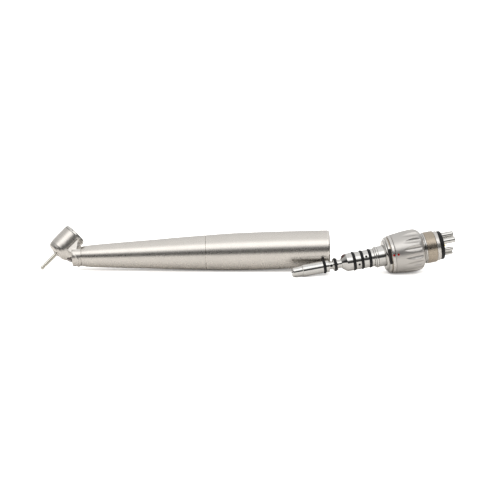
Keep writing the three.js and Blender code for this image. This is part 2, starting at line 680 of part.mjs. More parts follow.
// ---- assembly ----
const handpiece = new THREE.Group();
handpiece.position.set(HANDLE_SEAT.x, HANDLE_SEAT.y, HANDLE_SEAT.z);
handpiece.rotation.set(HANDLE_ROLL, -HANDLE_PITCH, 0, "YXZ");

const head = new THREE.Group();
head.position.set(HEAD_X, 0, 0);
head.rotation.y = -HEAD_ANGLE;
handpiece.add(head);

add(handpiece, "head_housing", headHousing(), satin);
add(handpiece, "light_window", lightWindow(), glass);
add(handpiece, "front_sleeve", frontSleeve(), satin);
add(handpiece, "rear_sleeve", rearSleeve(), satin);
add(handpiece, "coupling_socket", couplingSocket(), brushed);
add(handpiece, "socket_o_ring", sealRing(SOCKET_RING_X, 6.28, 0.38), seal);
add(handpiece, "tube_spacer", tubeSpacer(), brushed);
add(handpiece, "light_rod", lightRod(), glass);
add(handpiece, "drive_air_tube",
  pipe(-2.2, TUBES_TO, DRIVE_R, DRIVE_R - 0.25).translate(0, 0, DRIVE_Z), steel);
for (const [name, y] of [["chip_air_tube", -SPRAY_Y], ["water_tube", SPRAY_Y]]) {
  add(handpiece, name, pipe(-3.4, TUBES_TO, SPRAY_R, 0.3).translate(0, y, SPRAY_Z), steel);
}

add(head, "back_cap", backCap(), steel);
add(head, "push_button", pushButton(), steel);
add(head, "button_spring", springWasher(), steel);
const bearings = [["front_bearing", FRONT_BEARING], ["rear_bearing", REAR_BEARING]];
for (const [name, from] of bearings) {
  add(head, name + "_outer_race", outerRace(from), steel);
  add(head, name + "_inner_race", innerRace(from), steel);
  add(head, name + "_cage", ballCage(from), phenolic);
  add(head, name + "_o_ring", sealRing(from + BEARING_WIDTH / 2, 3.56, 0.34), seal);
}
add(head, "spindle", spindle(), steel);
add(head, "impeller", impeller(), steel);
add(head, "chuck", chuck(), steel);
add(head, "bur", bur(), steel);

const coupler = new THREE.Group();
coupler.position.set(COUPLER_SEAT.x, COUPLER_SEAT.y, COUPLER_SEAT.z);
coupler.rotation.set(COUPLER_ROLL, -COUPLER_PITCH, COUPLER_YAW, "ZYX");

add(coupler, "coupler_probe", couplerProbe(), chrome);
SEALS.forEach(({ x, r }, i) => {
  const inner = i < 2 ? 2.25 : 3.15;
  const half = 0.5;
  add(coupler, "probe_o_ring_" + (i + 1), turned([
    [x - half, inner], [x - half, r - 0.3], [x - half / 2, r], [x + half / 2, r],
    [x + half, r - 0.3], [x + half, inner],
  ]), seal);
});
add(coupler, "snap_ring", pipe(SNAP_X - SNAP_HALF, SNAP_X + SNAP_HALF, 4.6, 4.05, BORE_SIDES), steel);
add(coupler, "light_lens", lightLens(), lensRed);
add(coupler, "led_module", ledModule(), ceramic);
add(coupler, "coupler_body", couplerBody(), brushed);
add(coupler, "contact_strip", contactStrip(), darkPlastic);
add(coupler, "index_ring", indexRing(), satin);
add(coupler, "index_dot", dot(INDEX_DOT_X, INDEX_R, DOT_R, DOT_DEPTH, 0.02), redPaint);
add(coupler, "adjusting_sleeve", adjustingSleeve(), brushed);
add(coupler, "sleeve_dot", dot(SLEEVE_DOT_X, SLEEVE_DOT_SURFACE, DOT_R, DOT_DEPTH, 0.04), redPaint);
add(coupler, "hose_thread_ring", threadRing(), bronze);
add(coupler, "rear_ring", rearRing(), steel);
add(coupler, "stub_block", stubBlock(), steel);
add(coupler, "hose_gasket", hoseGasket(), seal);
for (const { name, y, z, r, wall, to } of STUBS) {
  add(coupler, name, pipe(STUB_FROM, to, r, r - wall, TUBE_SIDES).translate(0, y, z), steel);
}
for (const { name, y, z } of PINS) {
  add(coupler, name, rod(STUB_FROM + 1, PIN_TO, PIN_R, 8).translate(0, y, z), gold);
}

const part = new THREE.Group();
part.add(handpiece, coupler);
export default part;
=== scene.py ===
"""A 45 degree surgical high speed handpiece and its unplugged hose coupler, lying on a pale table."""
import json
import math
import bpy
import numpy as np
from mathutils import Matrix, Vector


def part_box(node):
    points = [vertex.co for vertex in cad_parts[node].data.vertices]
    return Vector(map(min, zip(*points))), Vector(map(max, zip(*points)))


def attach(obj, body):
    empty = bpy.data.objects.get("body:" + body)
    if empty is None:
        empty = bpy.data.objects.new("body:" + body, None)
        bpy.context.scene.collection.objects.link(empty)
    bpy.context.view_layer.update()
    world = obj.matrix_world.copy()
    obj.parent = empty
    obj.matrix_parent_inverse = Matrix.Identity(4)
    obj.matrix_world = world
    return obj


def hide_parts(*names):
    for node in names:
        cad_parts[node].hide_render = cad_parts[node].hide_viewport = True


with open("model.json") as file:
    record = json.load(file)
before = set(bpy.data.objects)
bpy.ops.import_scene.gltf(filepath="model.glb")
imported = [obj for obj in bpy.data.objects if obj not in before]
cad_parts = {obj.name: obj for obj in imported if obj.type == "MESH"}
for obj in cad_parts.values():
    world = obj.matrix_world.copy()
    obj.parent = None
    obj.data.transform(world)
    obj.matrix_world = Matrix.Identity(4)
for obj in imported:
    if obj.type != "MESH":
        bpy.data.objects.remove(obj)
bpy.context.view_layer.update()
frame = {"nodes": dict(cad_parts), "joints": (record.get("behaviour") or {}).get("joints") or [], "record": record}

MM = 0.001
ROUND = 144  # segments round a large turned piece
FINE = 64  # segments round a small one
HOLE = 32  # segments round a hole, a pin or a dot
SHARP_ANGLE = math.radians(35)  # edges sharper than this stay crisp
JOINTS = {joint["name"]: joint for joint in frame["joints"]}
MOUNTS = {mount["name"]: mount for mount in frame["record"]["mounts"]}

# ---- the two pieces' own frames, in millimetres, X along each one's axis ----
HEAD_ANGLE = math.radians(45)  # between the bur's axis and the handle's
HEAD_X = -12.45  # where the bur's axis crosses the handle's, ahead of the seam
RING_X = 48.5  # the spray ring's stated centre, from the coupler's nose


def own_frame(origin, along, up):
    """A matrix from millimetres in a piece's own frame to metres in the row frame."""
    x_axis = along.normalized()
    y_axis = up.cross(x_axis).normalized()
    z_axis = x_axis.cross(y_axis)
    turned = Matrix((x_axis, y_axis, z_axis)).transposed().to_4x4()
    return Matrix.Translation(origin) @ turned @ Matrix.Scale(MM, 4)


handle_axis = Vector(MOUNTS["handle_rear_rim"]["axis"])
bur_axis = Vector(JOINTS["rotor_spin"]["axis"])
crossing = Vector(JOINTS["rotor_spin"]["pos_m"])
HANDLE = own_frame(crossing - handle_axis * HEAD_X * MM, handle_axis, bur_axis)
HEAD = own_frame(crossing, bur_axis, bur_axis * math.cos(HEAD_ANGLE) - handle_axis)
coupler_axis = Vector(JOINTS["spray_ring_turn"]["axis"])
ring_centre = Vector(JOINTS["spray_ring_turn"]["pos_m"])
strip_low, strip_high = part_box("contact_strip")
to_strip = (Vector(strip_low) + Vector(strip_high)) / 2 - ring_centre  # the strip faces along -Y of its frame
COUPLER = own_frame(ring_centre - coupler_axis * RING_X * MM, coupler_axis, to_strip.cross(coupler_axis))


# ---- materials ----
class Nodes:
    """A small helper that adds and links shader nodes."""

    def __init__(self, name):
        self.material = bpy.data.materials.new(name)
        self.material.use_nodes = True
        self.tree = self.material.node_tree
        self.shader = self.tree.nodes["Principled BSDF"]

    def add(self, kind, **values):
        node = self.tree.nodes.new(kind)
        for key, value in values.items():
            if hasattr(node, key):
                setattr(node, key, value)
            else:
                node.inputs[key].default_value = value
        return node

    def link(self, source, target):
        self.tree.links.new(source, target)

    def noise(self, coordinates, scale, detail=2.0, stretch=None):
        node = self.add("ShaderNodeTexNoise", Scale=scale, Detail=detail)
        source = coordinates
        if stretch:
            mapping = self.add("ShaderNodeMapping")
            mapping.inputs["Scale"].default_value = stretch
            self.link(coordinates, mapping.inputs["Vector"])
            source = mapping.outputs["Vector"]
        self.link(source, node.inputs["Vector"])
        return node.outputs["Fac"]

    def spread(self, source, low, high, start=0.3, end=0.7):
        node = self.add("ShaderNodeMapRange")
        node.inputs["From Min"].default_value = start
        node.inputs["From Max"].default_value = end
        node.inputs["To Min"].default_value = low
        node.inputs["To Max"].default_value = high
        self.link(source, node.inputs["Value"])
        return node.outputs["Result"]

    def mix(self, factor, first, second):
        node = self.add("ShaderNodeMix", data_type="RGBA")
        self.link(factor, node.inputs["Factor"])
        for socket, value in ((node.inputs[6], first), (node.inputs[7], second)):
            if isinstance(value, bpy.types.NodeSocket):
                self.link(value, socket)
            else:
                socket.default_value = (*value, 1)
        return node.outputs[2]

    def bump(self, height, distance, strength, before=None):
        node = self.add("ShaderNodeBump", Distance=distance, Strength=strength)
        self.link(height, node.inputs["Height"])
        if before:
            self.link(before, node.inputs["Normal"])
        return node.outputs["Normal"]


def shade(colour, amount):
    """A lighter or darker colour."""
    return tuple(min(1.0, c * amount) for c in colour)


# Noise scales, in cells per metre, and bump heights, in metres.
BLOTCH_SCALE = 260
WEAR_SCALE = 1500
STAIN_SCALE = 700
GRAIN_SCALE = 5200
SCRATCH_SCALE = 900
SCRATCH_STRETCH = (0.25, 3.0, 2.2)
MARK_STRETCH = (0.25, 9.0, 1.0)  # turning marks run round a piece and repeat along it
MOTTLE_SCALE = 500
SMUDGE_SCALE = 900
TEXTURE_SCALE = 2600
TEXTURE_HEIGHT = 0.00002
SCRATCH_DEPTH = 0.000004
WORN_BRIGHTNESS = 1.22
WORN_POLISH = 0.35  # the share of the roughness that wear takes off


def metal(name, colour, roughness, grain=0.0, turned=0.0, scratches=0.0, blotches=0.05):
    """A metal with blotches of colour, worn bright edges, blasted grain, turning marks and fine scratches."""
    n = Nodes(name)
    place = n.add("ShaderNodeTexCoord")
    blotch = n.noise(place.outputs["Object"], BLOTCH_SCALE, 4)
    tone = n.mix(n.spread(blotch, 0, 1), shade(colour, 1 - blotches), shade(colour, 1 + blotches))
    wear = n.add("ShaderNodeAttribute", attribute_name="wear").outputs["Fac"]
    patchy = n.add("ShaderNodeMath", operation="MULTIPLY")
    n.link(wear, patchy.inputs[0])
    n.link(n.spread(n.noise(place.outputs["Object"], WEAR_SCALE, 3), 0.2, 1.0), patchy.inputs[1])
    worn = shade(colour, WORN_BRIGHTNESS)
    n.link(n.mix(patchy.outputs[0], tone, worn), n.shader.inputs["Base Color"])
    n.shader.inputs["Metallic"].default_value = 1.0
    uneven = 3 * blotches
    stain = n.noise(place.outputs["Object"], STAIN_SCALE, 5)
    rough = n.spread(stain, roughness * (1 - uneven), roughness * (1 + uneven))
    smoother = n.add("ShaderNodeMath", operation="MULTIPLY_ADD")
    n.link(patchy.outputs[0], smoother.inputs[0])
    smoother.inputs[1].default_value = -WORN_POLISH * roughness
    n.link(rough, smoother.inputs[2])
    n.link(smoother.outputs[0], n.shader.inputs["Roughness"])
    normal = None
    if grain:
        normal = n.bump(n.noise(place.outputs["Object"], GRAIN_SCALE, 3), TEXTURE_HEIGHT, grain)
    if turned:
        marks = n.noise(place.outputs["UV"], 1.0, 3, MARK_STRETCH)
        normal = n.bump(marks, TEXTURE_HEIGHT, turned, normal)
    if scratches:
        lines = n.noise(place.outputs["Object"], SCRATCH_SCALE, 6, SCRATCH_STRETCH)
        normal = n.bump(n.spread(lines, 0, 1, 0.6, 0.66), SCRATCH_DEPTH, scratches, normal)
    if normal:
        n.link(normal, n.shader.inputs["Normal"])
    return n.material


def plain(name, colour, roughness, coat=0.0, grain=0.25, specular=0.5):
    """A rubber, plastic, enamel or dark glass with a faint mottle and a fine texture."""
    n = Nodes(name)
    place = n.add("ShaderNodeTexCoord")
    mottle = n.spread(n.noise(place.outputs["Object"], MOTTLE_SCALE, 4), 0, 1)
    n.link(n.mix(mottle, shade(colour, 0.8), shade(colour, 1.25)), n.shader.inputs["Base Color"])
    rough = n.spread(n.noise(place.outputs["Object"], SMUDGE_SCALE, 3), roughness * 0.85, roughness * 1.15)
    n.link(rough, n.shader.inputs["Roughness"])
    texture = n.noise(place.outputs["Object"], TEXTURE_SCALE, 3)
    n.link(n.bump(texture, TEXTURE_HEIGHT, grain), n.shader.inputs["Normal"])
    n.shader.inputs["Coat Weight"].default_value = coat
    n.shader.inputs["Specular IOR Level"].default_value = specular
    return n.material


MATERIALS = {
    "satin_steel": metal("blasted_satin_steel", (0.62, 0.59, 0.55), 0.28, grain=0.03, blotches=0.02),
    "ring_steel": metal("satin_turned_steel", (0.53, 0.51, 0.485), 0.36, grain=0.06, turned=0.2,
                        blotches=0.03),
    "machined_steel": metal("turned_steel", (0.50, 0.485, 0.46), 0.22, turned=0.3, scratches=0.1),
    "bur_steel": metal("ground_bur_steel", (0.52, 0.50, 0.44), 0.22, turned=0.3),
    "chrome": metal("polished_chrome", (0.53, 0.52, 0.50), 0.09, turned=0.2, scratches=0.2),
    "bronze_thread": metal("bronze_grey_steel", (0.36, 0.31, 0.25), 0.33, grain=0.15, turned=0.3),
    "gold_contact": metal("gold_plate", (0.86, 0.62, 0.22), 0.2, scratches=0.2),
    "black_seal": plain("nitrile_rubber", (0.008, 0.008, 0.009), 0.45, specular=0.25),
    "light_glass": plain("brown_fibre_glass", (0.055, 0.03, 0.02), 0.16, coat=0.6, grain=0.05),
    "lens_glass": plain("dark_red_lens", (0.08, 0.012, 0.008), 0.1, coat=0.8, grain=0.05),
    "cage_phenolic": plain("phenolic_cage", (0.30, 0.15, 0.06), 0.5),
    "lamp_ceramic": plain("lamp_ceramic", (0.75, 0.72, 0.66), 0.4),
    "dark_plastic": plain("dark_contact_plastic", (0.02, 0.018, 0.017), 0.4, grain=0.4, specular=0.35),
    "red_paint": plain("red_enamel", (0.36, 0.003, 0.002), 0.6, grain=0.1, specular=0.1),
}


# ---- mesh helpers ----
def curve_through(points, step):
    """Points on a smooth curve through (x, r) points, about step apart."""
    padded = [2 * np.array(points[0]) - np.array(points[1]), *map(np.array, points),
              2 * np.array(points[-1]) - np.array(points[-2])]
    made = []
    for a, b, c, d in zip(padded, padded[1:], padded[2:], padded[3:]):
        count = max(1, round(np.linalg.norm(c - b) / step))
        for i in range(count):
            t = i / count
            made.append(tuple(0.5 * (2 * b + (c - a) * t + (2 * a - 5 * b + 4 * c - d) * t * t
                                     + (3 * b - a - 3 * c + d) * t ** 3)))
    return made + [tuple(points[-1])]


def filleted(outline, closed, steps=4):
    """The outline with each (x, r, fillet) corner rounded, and for each point 1 on a fillet or 0 off it."""
    count = len(outline)
    points, worn = [], []
    for i, corner in enumerate(outline):
        here = np.array(corner[:2], float)
        radius = corner[2] if len(corner) > 2 else 0
        ends = not closed and i in (0, count - 1)
        if not radius or ends:
            points.append(here)
            worn.append(0.0)
            continue
        before = np.array(outline[i - 1][:2], float) - here
        after = np.array(outline[(i + 1) % count][:2], float) - here
        u, v = before / np.linalg.norm(before), after / np.linalg.norm(after)
        half = 0.5 * math.acos(max(-1, min(1, float(u @ v))))
        reach = min(radius / math.tan(half), 0.48 * np.linalg.norm(before), 0.48 * np.linalg.norm(after))
        radius = reach * math.tan(half)
        centre = here + (u + v) / np.linalg.norm(u + v) * radius / math.sin(half)
        start, end = here + u * reach - centre, here + v * reach - centre
        sweep = math.atan2(start[0] * end[1] - start[1] * end[0], start @ end)
        for k in range(steps + 1):
            c, s = math.cos(sweep * k / steps), math.sin(sweep * k / steps)
            points.append(centre + np.array([c * start[0] - s * start[1], s * start[0] + c * start[1]]))
            worn.append(1.0)
    return points, worn


def mesh_object(name, verts, faces, place, wear=None, uvs=None, normals=None):
    """A mesh object whose vertices are moved from a piece's own frame into the row frame. Its shading
    normals are found from its faces, unless normals gives one for each vertex."""
    mesh = bpy.data.meshes.new(name)
    mesh.from_pydata([tuple(v) for v in verts], [], faces)
    if wear is not None:
        mesh.attributes.new("wear", "FLOAT", "POINT").data.foreach_set("value", np.array(wear, np.float32))
    if uvs is not None:
        layer = mesh.uv_layers.new(name="UVMap")
        layer.data.foreach_set("uv", np.array(uvs, np.float32).ravel())
    mesh.transform(place)
    mesh.validate()
    mesh.shade_smooth()
    if normals is None:
        mesh.set_sharp_from_angle(angle=SHARP_ANGLE)
    else:
        spin = np.array(place.to_3x3()) / MM
        mesh.normals_split_custom_set_from_vertices((normals @ spin.T).tolist())
    made = bpy.data.objects.new(name, mesh)
    bpy.context.scene.collection.objects.link(made)
    return made


def turned(name, outline, place, segments=ROUND, shape=None):
    """A body turned about X from (x, r[, fillet]) points. An outline that leaves the axis closes on itself.
    shape(x, r, angle) may change each radius."""
    closed = outline[0][1] > 0 or outline[-1][1] > 0
    points, worn = filleted(outline, closed)
    area = sum(p[0] * q[1] - p[1] * q[0] for p, q in zip(points, points[1:] + points[:1]))
    if area > 0:
        points, worn = points[::-1], worn[::-1]
    lengths = np.concatenate([[0], np.cumsum([np.linalg.norm(b - a) for a, b in zip(points, points[1:])])])
    verts, wear, index = [], [], []
    for (x, r), w in zip(points, worn):
        row = []
        for k in range(segments if r > 1e-9 else 1):
            angle = 2 * math.pi * k / segments
            radius = shape(x, r, angle) if shape else r
            row.append(len(verts))
            verts.append((x, radius * math.sin(angle), radius * math.cos(angle)))
            wear.append(w)
        index.append(row if r > 1e-9 else row * segments)
    faces, uvs = [], []
    count = len(points)
    mean = max(r for _, r in points)
    for i in range(count if closed else count - 1):
        j = (i + 1) % count
        v0, v1 = lengths[i], lengths[j] if j else lengths[-1] + 0.2
        for k in range(segments):
            m = (k + 1) % segments
            quad = [index[i][k], index[j][k], index[j][m], index[i][m]]
            where = [(k, v0), (k, v1), (k + 1, v1), (k + 1, v0)]
            keep = [n for n in range(4) if quad[n] != quad[n - 1]]
            if len(keep) < 3:
                continue
            faces.append([quad[n] for n in keep])
            uvs += [(where[n][0] * 2 * math.pi * mean / segments, where[n][1]) for n in keep]
    made = mesh_object(name, verts, faces, place, wear, uvs)
    made.modifiers.new("even_normals", "WEIGHTED_NORMAL").keep_sharp = True
    return made


def box_mesh(x_range, y_range, z_range):
    """The corners and faces of a box, for cutting tools and bevelled blocks."""
    verts = [(x, y, z) for x in x_range for y in y_range for z in z_range]
    return verts, [(0, 1, 3, 2), (4, 6, 7, 5), (0, 4, 5, 1), (2, 3, 7, 6), (0, 2, 6, 4), (1, 5, 7, 3)]


def o_ring(name, x, outer, thick, place):
    """A seal ring with a round section."""
    section = thick / 2
    outline = []
    for k in range(16):
        angle = 2 * math.pi * k / 16
        outline.append((x + section * math.cos(angle), outer - section + section * math.sin(angle)))
    return turned(name, outline, place, 96)


def carve(piece, *tools):
    """Takes each tool's volume out of the piece for good, and deletes the tools."""
    for tool in tools:
        cut = piece.modifiers.new("cut", "BOOLEAN")
        cut.operation = "DIFFERENCE"
        cut.solver = "EXACT"
        cut.object = tool
        while piece.modifiers[0] != cut:
            piece.modifiers.move(len(piece.modifiers) - 1, 0)
        view_layer = bpy.context.view_layer
        view_layer.objects.active = piece
        with bpy.context.temp_override(object=piece, active_object=piece):
            bpy.ops.object.modifier_apply(modifier=cut.name)
        bpy.data.objects.remove(tool)
    piece.data.set_sharp_from_angle(angle=SHARP_ANGLE)
    return piece


def finish_piece(piece, body, slot, *nodes, material=None):
    """Gives a piece its material, from its slot unless another is named, puts it on its body and hides the CAD
    nodes that it stands for.
    """
    piece.data.materials.clear()
    piece.data.materials.append(MATERIALS[material or slot])
    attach(piece, body)
    if nodes:
        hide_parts(*nodes)
    return piece


def offset(place, x, y, z, turn=None):
    """A frame that stands at (x, y, z) millimetres in another, turned by turn."""
    moved = place @ Matrix.Translation((x, y, z))
    return moved @ turn if turn else moved


# ---- implicit surfaces ----
def polygon_distance(px, py, outline):
    """Signed distance to a polygon, negative inside."""
    best = np.full(px.shape, 1e9)
    sign = np.ones(px.shape)
    for (ax, ay), (bx, by) in zip(outline, outline[-1:] + outline[:-1]):
        ex, ey = bx - ax, by - ay
        wx, wy = px - ax, py - ay
        share = np.clip((wx * ex + wy * ey) / (ex * ex + ey * ey), 0, 1)
        best = np.minimum(best, (wx - ex * share) ** 2 + (wy - ey * share) ** 2)
        one, two, three = py >= ay, py < by, ex * wy > ey * wx
        sign = np.where((one & two & three) | ~(one | two | three), -sign, sign)
    return sign * np.sqrt(best)


def blend_union(a, b, width):
    """Both solids, with the corner between them filled over about width."""
    h = np.maximum(width - np.abs(a - b), 0) / width
    return np.minimum(a, b) - h * h * width / 4


def blend_cut(a, tool, width):
    """The first solid without the tool, with its edges rounded over about width."""
    return -blend_union(-a, tool, width)


def surface_of(field, low, high, step):
    """Vertices, quads and normals of the zero surface of field(points), by surface nets moved onto it."""
    axes = [np.arange(a, b + step, step) for a, b in zip(low, high)]
    grid = np.stack(np.meshgrid(*axes, indexing="ij"), -1)
    values = field(grid.reshape(-1, 3)).reshape(grid.shape[:3])
    inside = values < 0
    cells = tuple(n - 1 for n in inside.shape)
    corners = [(i, j, k) for i in (0, 1) for j in (0, 1) for k in (0, 1)]

    def part(array, c):
        return array[c[0]:c[0] + cells[0], c[1]:c[1] + cells[1], c[2]:c[2] + cells[2]]

    total = sum(part(inside, c).astype(np.int8) for c in corners)
    active = (total > 0) & (total < 8)
    number = np.full(cells, -1)
    number[active] = np.arange(active.sum())
    centre = np.zeros((int(active.sum()), 3))
    weight = np.zeros(len(centre))
    for c in corners:
        for axis in range(3):
            if c[axis]:
                continue
            d = list(c)
            d[axis] = 1
            va, vb = part(values, c)[active], part(values, d)[active]
            crossed = (va < 0) != (vb < 0)
            share = np.where(crossed, va / np.where(crossed, va - vb, 1), 0)
            point = np.tile(np.array(c, float), (len(centre), 1))
            point[:, axis] += share
            centre += point * crossed[:, None]
            weight += crossed
    base = np.stack(np.nonzero(active), -1)
    points = np.array(low) + (base + centre / weight[:, None]) * step
    faces = []
    for axis in range(3):
        u, v = (axis + 1) % 3, (axis + 2) % 3
        first = [slice(0, n) for n in inside.shape]
        second = list(first)
        first[axis], second[axis] = slice(0, -1), slice(1, None)
        change = inside[tuple(first)].astype(int) - inside[tuple(second)].astype(int)
        where = np.stack(np.nonzero(change), -1)
        where = where[(where[:, u] > 0) & (where[:, v] > 0)
                      & (where[:, u] < cells[u]) & (where[:, v] < cells[v])]
        flip = change[tuple(where.T)] < 0
        quad = []
        for du, dv in ((1, 1), (0, 1), (0, 0), (1, 0)):
            cell = where.copy()
            cell[:, u] -= du
            cell[:, v] -= dv
            quad.append(number[tuple(cell.T)])
        quad = np.stack(quad, -1)
        quad[flip] = quad[flip][:, ::-1]
        faces.append(quad)

    def slope_at(reach):
        return np.stack([
            (field(points + reach * e) - field(points - reach * e)) / (2 * reach) for e in np.eye(3)
        ], -1)

    for _ in range(4):
        here = field(points)
        slope = slope_at(0.02 * step)
        move = -here[:, None] * slope / np.maximum((slope ** 2).sum(1), 1e-6)[:, None]
        points += np.clip(move, -0.5 * step, 0.5 * step)
    slope = slope_at(0.25 * step)
    normals = slope / np.maximum(np.linalg.norm(slope, axis=1), 1e-6)[:, None]
    return points, np.concatenate(faces).tolist(), normals


# ---- head ----
BARREL = [(2.1, 0.0), (2.1, 2.6), (2.3, 3.8), (2.8, 4.6), (3.6, 5.0), (4.7, 5.22), (6.6, 5.3), (12.9, 5.3),
          (12.9, 0.0)]
NECK_SECTION = [(7.3, 0.0), (7.3, 4.38), (6.6, 4.4), (5.6, 4.25), (4.6, 3.8), (3.6, 3.05), (2.8, 2.1),
                (2.2, 0.9), (2.1, 0.0)]
NECK_HALF = 4.4
COLLAR_R = 4.17  # of the round end of the neck, at the handle's seam
COLLAR_LENGTH = 3.85
POCKET_T = 6.55
POCKET_TO = 12.3
POCKET_O = 2.83
POCKET_HALF = 3.5  # from the middle to the pocket's floor
WINDOW_TIP = (-6.45, -1.45)
WINDOW_BACK = -4.2
WINDOW_UP = 0.27  # slopes of the window's top and bottom, from its tip
WINDOW_DOWN = 0.4
WINDOW_HALF = 2.3
WINDOW_GAP = 0.06
CAVITY_R = 3.95
CAVITY_FLOOR = 3.2
NOSE_BORE_R = 1.85
SOCKET_R = 3.65  # the neck's socket for the handle's spigot
SOCKET_FLOOR = -2.7


def pocket_arc(z):
    """Where the neck's web starts to fall away behind the milled side pocket."""
    return -1.66 - np.where(z > 4.95, 0.15, 0.07) * (z - 4.95) ** 2


def head_field(points):
    """The cast head and neck as a distance field, in the handle's frame."""
    x, y, z = points.T
    t = (x - HEAD_X + z) / math.sqrt(2)
    o = (x - HEAD_X - z) / math.sqrt(2)  # behind and below the bur's axis
    side = np.abs(y)
    barrel = polygon_distance(t, np.hypot(o, y), BARREL)
    low_edge = 2.25 + 0.18 * np.clip(o, 0, 5) + 0.33 * np.clip(o - 5, 0, 4)
    section_t = 7.3 - (7.3 - t) * (5.2 / (7.3 - low_edge))
    narrow = 1 - 0.02 * np.clip(o, 0, 8)
    arm = polygon_distance(section_t, side / narrow, NECK_SECTION)
    arm = np.maximum(np.maximum(arm, -o), x + 1.2)
    collar_half = np.sqrt(np.maximum(COLLAR_R ** 2 - z ** 2, 0.01))
    ridge = np.where(z < 3, collar_half, 2.9 - 0.65 * (z - 3))
    web_half = np.maximum(np.minimum(NECK_HALF, POCKET_HALF + 0.2 + 1.3 * (pocket_arc(z) - x)), ridge)
    web = np.maximum.reduce([
        0.65 * (side - web_half), 6.3 - t, -o, x + 0.3, t - 12.3, z - 6.9 + 0.02 * side * side,
    ])
    collar = np.maximum(np.hypot(y, z) - COLLAR_R, np.maximum(-COLLAR_LENGTH - x, x + 0.04))
    body = blend_union(barrel, arm, 0.9)
    body = blend_union(body, web, 0.35)
    pocket = np.maximum.reduce([POCKET_HALF - side, POCKET_T - t, t - POCKET_TO, POCKET_O - o])
    body = blend_cut(body, pocket, 0.12)
    body = blend_union(body, collar, 0.2)
    top = z - WINDOW_TIP[1] - WINDOW_UP * (x - WINDOW_TIP[0])
    seat = np.maximum.reduce([WINDOW_TIP[0] - 0.5 - x, x - WINDOW_BACK - WINDOW_GAP, top - WINDOW_GAP])
    body = blend_cut(body, seat, 0.08)
    bore = np.maximum(np.hypot(o, y) - NOSE_BORE_R, np.abs(t - 2.5) - 1.4)
    body = blend_cut(body, bore, 0.15)
    cavity = np.maximum.reduce([np.hypot(o, y) - CAVITY_R, CAVITY_FLOOR - t, t - 14])
    body = blend_cut(body, cavity, 0.05)
    socket = np.maximum(np.hypot(y, z) - SOCKET_R, SOCKET_FLOOR - x)
    return blend_cut(body, socket, 0.06)


HEAD_GRID = (-17.6, -5.6, -4.8), (1.3, 5.6, 13.3)  # the corners of the grid that holds the head
HEAD_STEP = 0.13
WINDOW_GRID = (-6.9, -2.7, -2.9), (-3.9, 2.7, -0.4)
WINDOW_STEP = 0.07


def make_head():
    step = HEAD_STEP
    verts, faces, normals = surface_of(head_field, *HEAD_GRID, step)
    made = mesh_object("head_housing_cast", verts, faces, HANDLE, normals=normals)
    finish_piece(made, "handpiece", "satin_steel", "head_housing")


def make_window():
    """The brown end of the light rod, rounded to the underside of the neck."""
    def field(points):
        x, y, z = points.T
        along = x - WINDOW_TIP[0]
        top = z - WINDOW_TIP[1] - WINDOW_UP * along
        bottom = WINDOW_TIP[1] - WINDOW_DOWN * along - z + 0.02 * y * y
        ends = np.maximum(x - WINDOW_BACK, np.abs(y) - WINDOW_HALF)
        return -blend_union(-top, -np.maximum(bottom, ends), 0.15)

    verts, faces, normals = surface_of(field, *WINDOW_GRID, WINDOW_STEP)
    made = mesh_object("light_window_glass", verts, faces, HANDLE, normals=normals)
    finish_piece(made, "handpiece", "light_glass", "light_window")


NOTCHES = 6


def make_cap_and_button():
    cap = turned("back_cap_ring", [
        (11.5, 3.85), (11.5, 4.18), (12.95, 4.18), (12.98, 5.25, 0.08), (13.25, 5.27, 0.1),
        (13.75, 5.12, 0.25), (14.2, 4.75, 0.25), (14.35, 4.3, 0.2), (14.33, 2.84, 0.06), (13.6, 2.82),
        (13.6, 3.85),
    ], HEAD)
    tools = []
    for i in range(NOTCHES):
        angle = math.radians(90 + 360 * i / NOTCHES)
        turn = Matrix.Rotation(angle, 4, "X")
        tools.append(mesh_object(f"notch_{i}", *box_mesh((13.7, 15), (-1.05, 1.05), (4.0, 6)), HEAD @ turn))
    carve(cap, *tools)
    finish_piece(cap, "handpiece", "machined_steel", "back_cap")
    button = turned("push_button_disc", [
        (12.6, 0), (12.6, 2.2), (12.85, 3.55), (13.4, 3.55), (13.4, 2.7), (14.3, 2.7, 0.15), (14.5, 2.4, 0.2),
        (14.62, 1.9, 0.3), (14.56, 1.2, 0.4), (14.5, 0),
    ], HEAD)
    finish_piece(button, "button", "machined_steel", "push_button")


def make_bur_and_spindle():
    bur = turned("fissure_bur", [
        (-6.95, 0), (-6.95, 0.68, 0.1), (-6.65, 0.8, 0.05), (-5.6, 0.8, 0.04), (-5.4, 0.68, 0.04),
        (-5.05, 0.68, 0.04), (-4.85, 0.8, 0.05), (11.0, 0.8, 0.05), (11.2, 0.6), (11.2, 0),
    ], HEAD, FINE)
    finish_piece(bur, "bur", "bur_steel", "bur")
    spindle = turned("spindle_sleeve", [
        (1.75, 0.85, 0.04), (1.75, 1.35, 0.08), (1.95, 1.55, 0.08), (11.35, 1.55), (11.35, 1.23), (2.5, 1.23),
        (2.5, 0.85),
    ], HEAD, FINE)
    finish_piece(spindle, "rotor", "machined_steel", "spindle")


# ---- handle ----
HANDLE_R = [
    (0.0, 4.17), (3.9, 4.7), (16.8, 5.48), (29.7, 6.13), (42.6, 6.88), (53.4, 7.4), (64.1, 7.86),
    (77.0, 8.02), (87.8, 8.02), (102.8, 7.92), (106.2, 7.88),
]
HANDLE_LENGTH = 106.2
SEAM_X = 53.25


def handle_radius(x):
    curve = curve_through(HANDLE_R, 1.0)
    return float(np.interp(x, [p[0] for p in curve], [p[1] for p in curve]))


def handle_run(start, end, step=1.5):
    count = max(2, round((end - start) / step))
    return [(float(x), handle_radius(x)) for x in np.linspace(start, end, count)]


